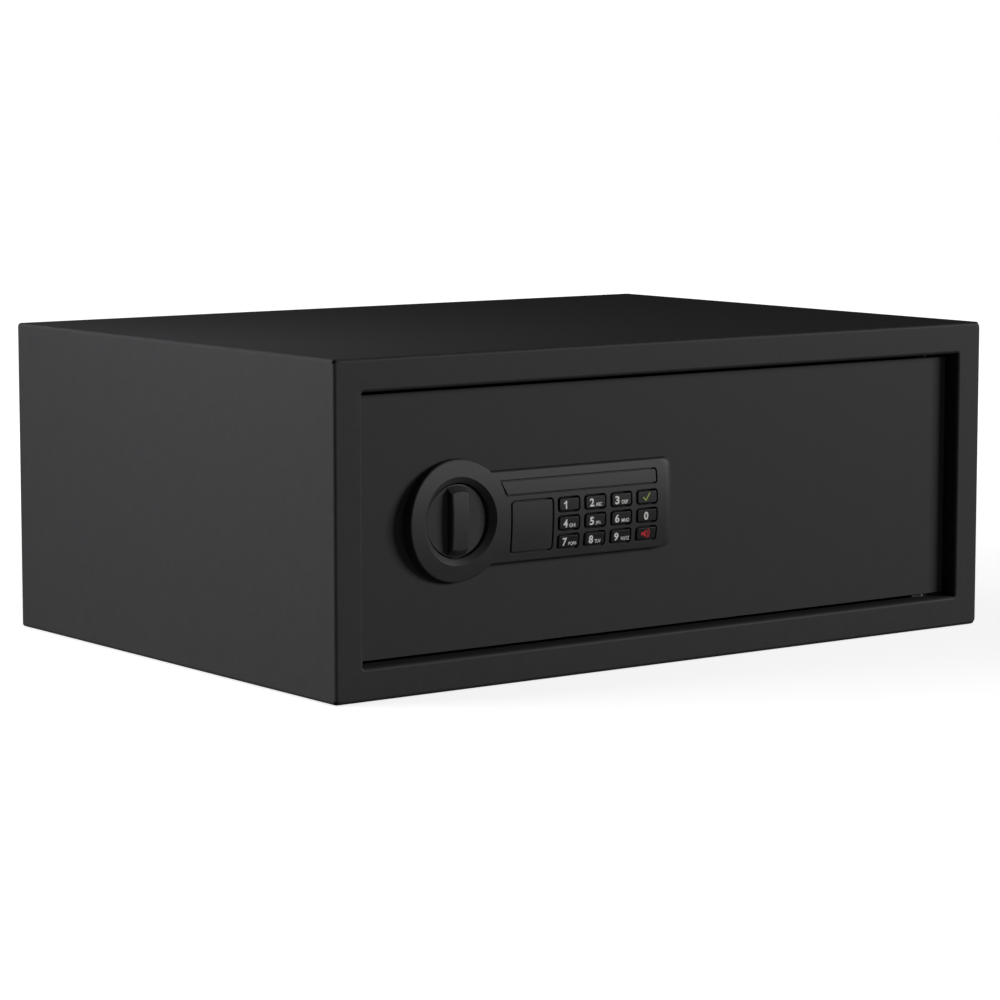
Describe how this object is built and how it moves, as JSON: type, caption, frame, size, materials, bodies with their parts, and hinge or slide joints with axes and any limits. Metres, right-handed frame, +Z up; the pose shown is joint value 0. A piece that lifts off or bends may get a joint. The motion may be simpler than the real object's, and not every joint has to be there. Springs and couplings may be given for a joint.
{
  "type": "electronic safe",
  "caption": "Low steel safe with a recessed swinging door, a round turning knob, a keypad bar and two sliding bolts.",
  "frame": {"origin": "centre of the cabinet's footprint, at the underside of its floor", "axes": "+X to the right seen from the front, +Y to the rear, +Z up; the door faces -Y"},
  "size_m": [0.46, 0.33, 0.18],
  "materials": {
    "shell_paint": "fine-textured powder coat, satin",
    "door_paint": "fine-textured powder coat, satin",
    "inner_paint": "smooth powder coat, satin",
    "housing_plastic": "satin moulded plastic",
    "key_plastic": "satin keys with white figures",
    "strip_plastic": "smoked window strip",
    "black_plastic": "moulded plastic",
    "red_plastic": "moulded push button",
    "white_plastic": "moulded nylon bush",
    "mat_rubber": "moulded silicone sheet",
    "board": "coated circuit board",
    "liner_fabric": "felt mat",
    "zinc_steel": "bright zinc plate",
    "bolt_steel": "polished plated bar",
    "brass": "turned brass",
    "coil_copper": "taped copper winding",
    "cell_jacket": "plain cell jacket"
  },
  "bodies": {
    "cabinet": {"body_shell": "shell_paint", "back_panel": "shell_paint", "floor_liner": "liner_fabric", "hinge_bracket_upper": "inner_paint", "hinge_bracket_lower": "inner_paint", "hinge_pin_upper": "zinc_steel", "hinge_pin_lower": "zinc_steel"},
    "door": {"door_plate": "door_paint", "lock_housing": "housing_plastic", "status_strip": "strip_plastic", "keypad_mat": "mat_rubber", "keypad_board": "board", "override_cylinder": "brass", "cylinder_nut": "zinc_steel", "spindle_bush": "white_plastic", "bolt_guide": "zinc_steel", "carriage_stud_upper": "zinc_steel", "carriage_stud_lower": "zinc_steel", "solenoid_frame": "zinc_steel", "solenoid_coil": "coil_copper", "inner_cover": "inner_paint", "cover_screw_1": "zinc_steel", "cover_screw_2": "zinc_steel", "cover_screw_3": "zinc_steel", "cover_screw_4": "zinc_steel", "housing_screw_1": "zinc_steel", "housing_screw_2": "zinc_steel", "battery_tray": "black_plastic", "battery_cell_1": "cell_jacket", "battery_cell_2": "cell_jacket", "battery_cell_3": "cell_jacket", "battery_cell_4": "cell_jacket"},
    "knob": {"knob": "housing_plastic", "spindle": "zinc_steel", "spindle_clip": "zinc_steel", "crank": "zinc_steel", "crank_screw": "zinc_steel"},
    "carriage": {"bolt_carriage": "zinc_steel", "carriage_stop": "zinc_steel", "bolt_upper": "bolt_steel", "bolt_lower": "bolt_steel"},
    "plunger": {"solenoid_plunger": "zinc_steel"},
    "override": {"override_plug": "brass", "override_cam": "zinc_steel"},
    "square_cover": {"key_cover": "housing_plastic"},
    "lid": {"battery_lid": "black_plastic"},
    "reset": {"reset_button": "red_plastic"},
    "key_1_body": {"key_1": "key_plastic"},
    "key_2_body": {"key_2": "key_plastic"},
    "key_3_body": {"key_3": "key_plastic"},
    "key_enter_body": {"key_enter": "key_plastic"},
    "key_4_body": {"key_4": "key_plastic"},
    "key_5_body": {"key_5": "key_plastic"},
    "key_6_body": {"key_6": "key_plastic"},
    "key_0_body": {"key_0": "key_plastic"},
    "key_7_body": {"key_7": "key_plastic"},
    "key_8_body": {"key_8": "key_plastic"},
    "key_9_body": {"key_9": "key_plastic"},
    "key_sound_body": {"key_sound": "key_plastic"}
  },
  "joints": [
    {"name": "door_hinge", "type": "hinge", "parent": "cabinet", "child": "door", "pos_m": [0.198, -0.1495, 0.09], "axis": [0, 0, 1], "range_deg": [0, 100]},
    {"name": "knob_turn", "type": "hinge", "parent": "door", "child": "knob", "pos_m": [-0.148, -0.1568, 0.09], "axis": [0, -1, 0], "range_deg": [0, 93]},
    {"name": "bolt_throw", "type": "slide", "parent": "door", "child": "carriage", "axis": [-1, 0, 0], "range_m": [0, 0.01697]},
    {"name": "plunger_slide", "type": "slide", "parent": "door", "child": "plunger", "axis": [0, 0, 1], "range_m": [0, 0.004]},
    {"name": "override_turn", "type": "hinge", "parent": "door", "child": "override", "pos_m": [-0.1006, -0.15, 0.08415], "axis": [0, -1, 0], "range_deg": [0, 90]},
    {"name": "square_cover_pull", "type": "slide", "parent": "door", "child": "square_cover", "axis": [0, -1, 0], "range_m": [0, 0.012]},
    {"name": "battery_lid_pull", "type": "slide", "parent": "door", "child": "lid", "axis": [0, 1, 0], "range_m": [0, 0.012]},
    {"name": "reset_press", "type": "slide", "parent": "door", "child": "reset", "axis": [0, -1, 0], "range_m": [0, 0.0012], "stiffness_N_per_m": 400},
    {"name": "key_1_press", "type": "slide", "parent": "door", "child": "key_1_body", "axis": [0, 1, 0], "range_m": [0, 0.0007], "stiffness_N_per_m": 500},
    {"name": "key_2_press", "type": "slide", "parent": "door", "child": "key_2_body", "axis": [0, 1, 0], "range_m": [0, 0.0007], "stiffness_N_per_m": 500},
    {"name": "key_3_press", "type": "slide", "parent": "door", "child": "key_3_body", "axis": [0, 1, 0], "range_m": [0, 0.0007], "stiffness_N_per_m": 500},
    {"name": "key_enter_press", "type": "slide", "parent": "door", "child": "key_enter_body", "axis": [0, 1, 0], "range_m": [0, 0.0007], "stiffness_N_per_m": 500},
    {"name": "key_4_press", "type": "slide", "parent": "door", "child": "key_4_body", "axis": [0, 1, 0], "range_m": [0, 0.0007], "stiffness_N_per_m": 500},
    {"name": "key_5_press", "type": "slide", "parent": "door", "child": "key_5_body", "axis": [0, 1, 0], "range_m": [0, 0.0007], "stiffness_N_per_m": 500},
    {"name": "key_6_press", "type": "slide", "parent": "door", "child": "key_6_body", "axis": [0, 1, 0], "range_m": [0, 0.0007], "stiffness_N_per_m": 500},
    {"name": "key_0_press", "type": "slide", "parent": "door", "child": "key_0_body", "axis": [0, 1, 0], "range_m": [0, 0.0007], "stiffness_N_per_m": 500},
    {"name": "key_7_press", "type": "slide", "parent": "door", "child": "key_7_body", "axis": [0, 1, 0], "range_m": [0, 0.0007], "stiffness_N_per_m": 500},
    {"name": "key_8_press", "type": "slide", "parent": "door", "child": "key_8_body", "axis": [0, 1, 0], "range_m": [0, 0.0007], "stiffness_N_per_m": 500},
    {"name": "key_9_press", "type": "slide", "parent": "door", "child": "key_9_body", "axis": [0, 1, 0], "range_m": [0, 0.0007], "stiffness_N_per_m": 500},
    {"name": "key_sound_press", "type": "slide", "parent": "door", "child": "key_sound_body", "axis": [0, 1, 0], "range_m": [0, 0.0007], "stiffness_N_per_m": 500}
  ],
  "couplings": [
    {"joint": "knob_turn", "follows": "bolt_throw", "rad_per_m": 92.56}
  ]
}
